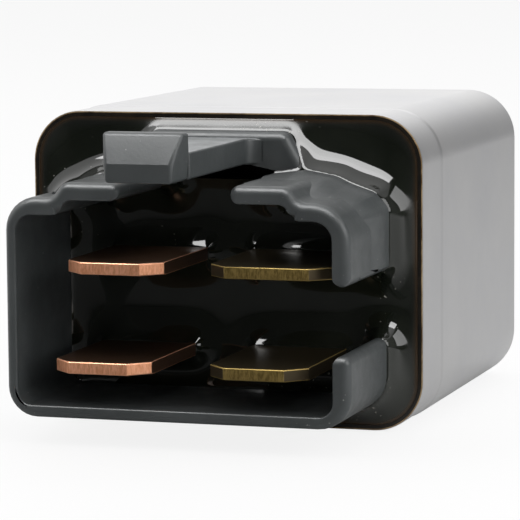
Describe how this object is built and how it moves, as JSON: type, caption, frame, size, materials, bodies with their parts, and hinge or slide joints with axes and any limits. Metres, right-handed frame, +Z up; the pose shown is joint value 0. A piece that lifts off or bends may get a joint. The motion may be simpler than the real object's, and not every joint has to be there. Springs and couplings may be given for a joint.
{
  "type": "automotive relay",
  "caption": "Sealed plug-in relay: deep-drawn metal can potted with black resin, blade terminals inside an open connector shroud, and a flexible latch arm.",
  "frame": {"origin": "on the resting surface under the middle of the overall length and width", "axes": "+X across the terminals to the right as seen from the connector, +Y from the connector towards the closed end of the can, +Z up, with the relay lying on the long side of its can and the latch on top"},
  "size_m": [0.0262, 0.0428, 0.0202],
  "materials": {
    "can_aluminium": "satin, deep-drawn",
    "black_epoxy": "gloss, self-levelled",
    "shroud_nylon": "satin, glass-filled",
    "copper": "bright rolled copper",
    "brass": "bright rolled brass",
    "plated_iron": "zinc-plated soft iron",
    "bobbin_nylon": "natural, moulded",
    "enamelled_wire": "enamelled copper wire",
    "polyester_tape": "thin film",
    "spring_bronze": "rolled spring strip",
    "rivet_steel": "plated",
    "contact_silver": "silver alloy, fine satin",
    "braid_copper": "woven fine strands"
  },
  "bodies": {
    "root": {"can": "can_aluminium", "potting_resin": "black_epoxy", "connector_shroud": "shroud_nylon", "load_terminal_lower": "copper", "load_terminal_upper": "copper", "coil_terminal_lower": "brass", "coil_terminal_upper": "brass", "yoke": "plated_iron", "core": "plated_iron", "bobbin": "bobbin_nylon", "winding": "enamelled_wire", "winding_tape": "polyester_tape", "coil_lead_lower": "enamelled_wire", "coil_lead_upper": "enamelled_wire", "fixed_contact": "contact_silver", "rest_stop": "brass", "return_spring": "spring_bronze", "shunt_braid": "braid_copper"},
    "armature": {"armature": "plated_iron", "contact_spring": "spring_bronze", "armature_rivets": "rivet_steel", "moving_contact": "contact_silver"}
  },
  "joints": [
    {"name": "armature_hinge", "type": "hinge", "parent": "root", "child": "armature", "pos_m": [0.0083, 0.0179, 0.0101], "axis": [0, 0, 1], "range_deg": [0, 2.7], "stiffness_Nm_per_rad": 0.01, "springref_deg": -8.59}
  ]
}
